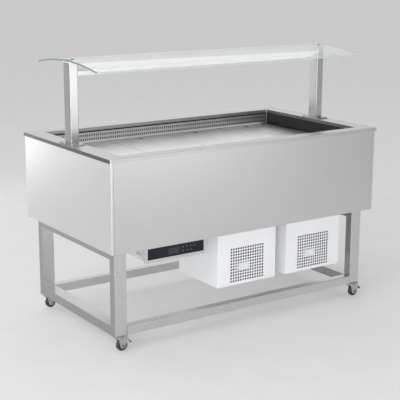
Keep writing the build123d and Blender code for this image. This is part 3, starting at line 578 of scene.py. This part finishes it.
MARK_SUNK, MARK_EASE = 0.2 * MM, 0.1 * MM
WINDOW_PROUD, KEY_PROUD, CROSS_PROUD = 0.15 * MM, 0.2 * MM, 0.3 * MM
WINDOW_LEFT, WINDOW_RIGHT, WINDOW_FOOT, WINDOW_TOP = 0.36, 0.55, 0.22, 0.78  # shares of the glass
SPOT_LEFT, SPOT_RIGHT, SPOT_HEIGHT = 3 * MM, 7 * MM, 6 * MM
KEY_ROWS = ((0.68, (0.62, 0.69, 0.76, 0.825)), (0.34, (0.63, 0.70, 0.77)))  # shares of the glass
KEY_HALF, LINE_HALF = 3 * MM, 0.5 * MM
KEY_REACH = KEY_HALF + LINE_HALF
CROSS_REACH, CROSS_HALF = 1.6 * MM, 0.6 * MM

glass_low, glass_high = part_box("display_glass")
glass_width, glass_height = glass_high.x - glass_low.x, glass_high.z - glass_low.z


def glass_mark(shape, x_range, z_range, proud):
    """A thin mark set into the front of the display glass."""
    (x0, x1), (z0, z1) = x_range, z_range
    block(shape, (x0, glass_low.y - proud, z0), (x1, glass_low.y + MARK_SUNK, z1), MARK_EASE)


def around(middle, half):
    """The range of one half width to each side of a middle."""
    return middle - half, middle + half


window = bmesh.new()
x0, x1 = (glass_low.x + share * glass_width for share in (WINDOW_LEFT, WINDOW_RIGHT))
z0, z1 = (glass_low.z + share * glass_height for share in (WINDOW_FOOT, WINDOW_TOP))
glass_mark(window, (x0, x1), (z0, z1), WINDOW_PROUD)
glass_mark(window, (x1 + SPOT_LEFT, x1 + SPOT_RIGHT), (z1 - SPOT_HEIGHT, z1), WINDOW_PROUD)
new_piece("display_readout", window, readout)

keys = bmesh.new()
for row, places in KEY_ROWS:
    for number, place in enumerate(places):
        x = glass_low.x + place * glass_width
        z = glass_low.z + row * glass_height
        for shift in (-KEY_HALF, KEY_HALF):
            glass_mark(keys, around(x, KEY_REACH), around(z + shift, LINE_HALF), KEY_PROUD)
            glass_mark(keys, around(x + shift, LINE_HALF), around(z, KEY_REACH), KEY_PROUD)
        glass_mark(keys, around(x, CROSS_REACH), around(z, CROSS_HALF), KEY_PROUD)
        if number % 2 == 0:
            glass_mark(keys, around(x, CROSS_HALF), around(z, CROSS_REACH), CROSS_PROUD)
new_piece("display_keys", keys, key_mark)


# Castors: bolts that hold the plates to the legs, and caps on the axle ends

PLATE_THICK = 3 * MM
BOLT_X, BOLT_Y = 21 * MM, 14 * MM
BOLT_WASHER = ((4.4, 0), (4.4, 0.7), (4, 0.9))
BOLT_HEAD = ((3.6, 0.7), (3.8, 0.9), (3.8, 3), (3.3, 3.4))
AXLE_REACH = 5.5 * MM  # from the face of a wheel's hub to the end of its axle
CAP_SUNK = 0.2 * MM
CAP_RIM = ((5.2, 0), (5.2, 0.6), (4.6, 1))
CAP_NUT = ((3.8, 0.8), (3.8, 2.6), (3.2, 3))

for corner in CORNERS:
    low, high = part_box("castor_head_" + corner)
    x, y = (low.x + high.x) / 2, (low.y + high.y) / 2
    bolts = bmesh.new()
    for dx in (-BOLT_X, BOLT_X):
        for dy in (-BOLT_Y, BOLT_Y):
            spot = (x + dx, y + dy, high.z - PLATE_THICK)
            turned(bolts, spot, (0, 0, -1), BOLT_WASHER, sides=20)
            turned(bolts, spot, (0, 0, -1), BOLT_HEAD, sides=6)
    new_piece("castor_bolts_" + corner, bolts, zinc)

    wheel_low, wheel_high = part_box("castor_wheel_" + corner)
    axle = (wheel_low + wheel_high) / 2
    caps = bmesh.new()
    for hub_face, out in ((wheel_low.y, -1), (wheel_high.y, 1)):
        spot = (axle.x, hub_face + out * (AXLE_REACH - CAP_SUNK), axle.z)
        turned(caps, spot, (0, out, 0), CAP_RIM, sides=24)
        turned(caps, spot, (0, out, 0), CAP_NUT, sides=6)
    new_piece("castor_axle_caps_" + corner, caps, pedal_steel, body="fork_" + corner)


# Undercarriage: weld beads where the long rails meet the side frames

BEAD_INSET, BEAD_RADIUS = 0.8 * MM, 1.3 * MM

beads = bmesh.new()
for rail in ("rail_front", "rail_back"):
    low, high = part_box(rail)
    for x in (low.x + BEAD_INSET, high.x - BEAD_INSET):
        weld_bead(beads, x, (low.y, low.z), (high.y, high.z), BEAD_RADIUS)
new_piece("rail_weld_beads", beads, steel_frame)


# Glass clamps: rubber washers round the caps

WASHER_DROP = 4 * MM  # below the top of the clamp
WASHER = ((13.1, 0), (16, 0), (16.5, 0.6), (16, 1.4), (13.1, 1.4))

for side in ("left", "right"):
    low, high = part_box("glass_clamp_" + side)
    spot = ((low.x + high.x) / 2, (low.y + high.y) / 2, high.z - WASHER_DROP)
    washer = bmesh.new()
    turned(washer, spot, (0, 0, 1), WASHER, sides=40, closed=True)
    new_piece("clamp_washer_" + side, washer, pale_rubber)


# Studio

SKY_LEAN = (-0.12, 0.45, 0.10)  # how much brighter the sky is towards +X, +Y and +Z
SKY_LEVEL, SKY_STRENGTH = 0.62, 0.85
FLOOR_REACH = 60.0
FLOOR_DROP = 0.5 * MM
FLOOR_DARK, FLOOR_LIGHT = (0.80, 0.80, 0.80), (0.83, 0.83, 0.83)
PAPER = (0.88, 0.88, 0.88, 1.0)
PAPER_SHARE = 0.25  # of the floor's look in the picture, in reflections and through glass


def studio_sky():
    """A plain sky, brighter at the back and darker at the front."""
    world = bpy.data.worlds.new("studio")
    bpy.context.scene.world = world
    world.use_nodes = True
    sky, links = world.node_tree.nodes, world.node_tree.links
    direction = sky.new("ShaderNodeTexCoord")
    lean = sky.new("ShaderNodeVectorMath")
    lean.operation = "DOT_PRODUCT"
    lean.inputs[1].default_value = SKY_LEAN
    links.new(direction.outputs["Generated"], lean.inputs[0])
    level = sky.new("ShaderNodeMath")
    level.inputs[1].default_value = SKY_LEVEL
    links.new(lean.outputs["Value"], level.inputs[0])
    links.new(level.outputs["Value"], sky["Background"].inputs["Color"])
    sky["Background"].inputs["Strength"].default_value = SKY_STRENGTH


def softbox(name, place, target, size, power, spread=180.0):
    """A large square lamp that the camera does not see, with the angle of its light in degrees."""
    lamp = bpy.data.lights.new(name, "AREA")
    lamp.shape = "SQUARE"
    lamp.size = size
    lamp.energy = power
    lamp.spread = math.radians(spread)
    item = bpy.data.objects.new(name, lamp)
    bpy.context.scene.collection.objects.link(item)
    item.location = place
    item.rotation_euler = (Vector(target) - Vector(place)).to_track_quat("-Z", "Y").to_euler()
    item.visible_camera = False


def pale_floor():
    """Matt paper that takes shadows and shows partly as its own plain tone."""
    material, tree_nodes, links, shader = new_material("pale_floor")
    grain = noise_field(tree_nodes, links, (6.0, 6.0, 6.0), detail=2.0)
    links.new(ramp(tree_nodes, links, grain, FLOOR_DARK, FLOOR_LIGHT), shader.inputs["Base Color"])
    shader.inputs["Roughness"].default_value = 0.8
    shader.inputs["Specular IOR Level"].default_value = 0.1
    rays = tree_nodes.new("ShaderNodeLightPath")
    seen = rays.outputs["Is Camera Ray"]
    for kind in ("Is Glossy Ray", "Is Transmission Ray"):
        either = tree_nodes.new("ShaderNodeMath")
        either.operation = "MAXIMUM"
        links.new(seen, either.inputs[0])
        links.new(rays.outputs[kind], either.inputs[1])
        seen = either.outputs["Value"]
    share = tree_nodes.new("ShaderNodeMath")
    share.operation = "MULTIPLY"
    share.inputs[1].default_value = PAPER_SHARE
    links.new(seen, share.inputs[0])
    paper = tree_nodes.new("ShaderNodeEmission")
    paper.inputs["Color"].default_value = PAPER
    mix = tree_nodes.new("ShaderNodeMixShader")
    links.new(share.outputs["Value"], mix.inputs["Fac"])
    links.new(shader.outputs["BSDF"], mix.inputs[1])
    links.new(paper.outputs["Emission"], mix.inputs[2])
    links.new(mix.outputs["Shader"], tree_nodes["Material Output"].inputs["Surface"])
    return material


studio_sky()
softbox("key_left", (-4.5, -1.5, 3.6), (0.0, 0.0, 0.7), size=3.0, power=70.0)
softbox("top", (0.0, 0.5, 5.0), (0.0, 0.0, 0.8), size=4.0, power=12.0)
softbox("low_left", (-3.2, -4.4, 0.9), (0.1, -0.2, 0.4), size=3.0, power=48.0, spread=90.0)
softbox("front_fill", (1.9, -5.0, 0.8), (0.0, 0.0, 0.5), size=2.2, power=7.0, spread=90.0)
softbox("back_left", (-1.3, 3.4, 0.75), (-0.75, 0.2, 0.66), size=1.4, power=16.0)
softbox("back_right", (3.2, 4.6, 4.4), (0.2, 0.0, 1.1), size=3.0, power=11.0)

floor_data = bpy.data.meshes.new("floor")
floor_corners = [(FLOOR_REACH * x, FLOOR_REACH * y, 0) for x, y in ((-1, -1), (1, -1), (1, 1), (-1, 1))]
floor_data.from_pydata(floor_corners, [], [(0, 1, 2, 3)])
floor_data.materials.append(pale_floor())
floor = bpy.data.objects.new("floor", floor_data)
bpy.context.scene.collection.objects.link(floor)
floor.location.z = -FLOOR_DROP


# Camera, with the photograph taken as 400 by 400 pixels

PICTURE_PIXELS, FOCAL_PIXELS = 400.0, 1044.181
SENSOR_WIDTH = 36.0
CAMERA_PLACE = (-2.827046, -4.093268, 1.709141)
YAW, PITCH, ROLL = math.radians(34.489), math.radians(13.434), math.radians(0.225)

camera_data = bpy.data.cameras.new("camera")
camera = bpy.data.objects.new("camera", camera_data)
bpy.context.scene.collection.objects.link(camera)
camera_data.sensor_width = SENSOR_WIDTH
camera_data.lens = FOCAL_PIXELS * SENSOR_WIDTH / PICTURE_PIXELS
camera_data.clip_start, camera_data.clip_end = 0.1, 200.0
ahead = Vector((math.sin(YAW) * math.cos(PITCH), math.cos(YAW) * math.cos(PITCH), -math.sin(PITCH)))
level_right = Vector((math.cos(YAW), -math.sin(YAW), 0.0))
level_up = level_right.cross(ahead)
right = math.cos(ROLL) * level_right + math.sin(ROLL) * level_up
up = math.cos(ROLL) * level_up - math.sin(ROLL) * level_right
turn = Matrix((right, up, -ahead)).transposed()
camera.matrix_world = Matrix.Translation(CAMERA_PLACE) @ turn.to_4x4()
bpy.context.scene.camera = camera

bpy.context.scene.view_settings.view_transform = "Standard"
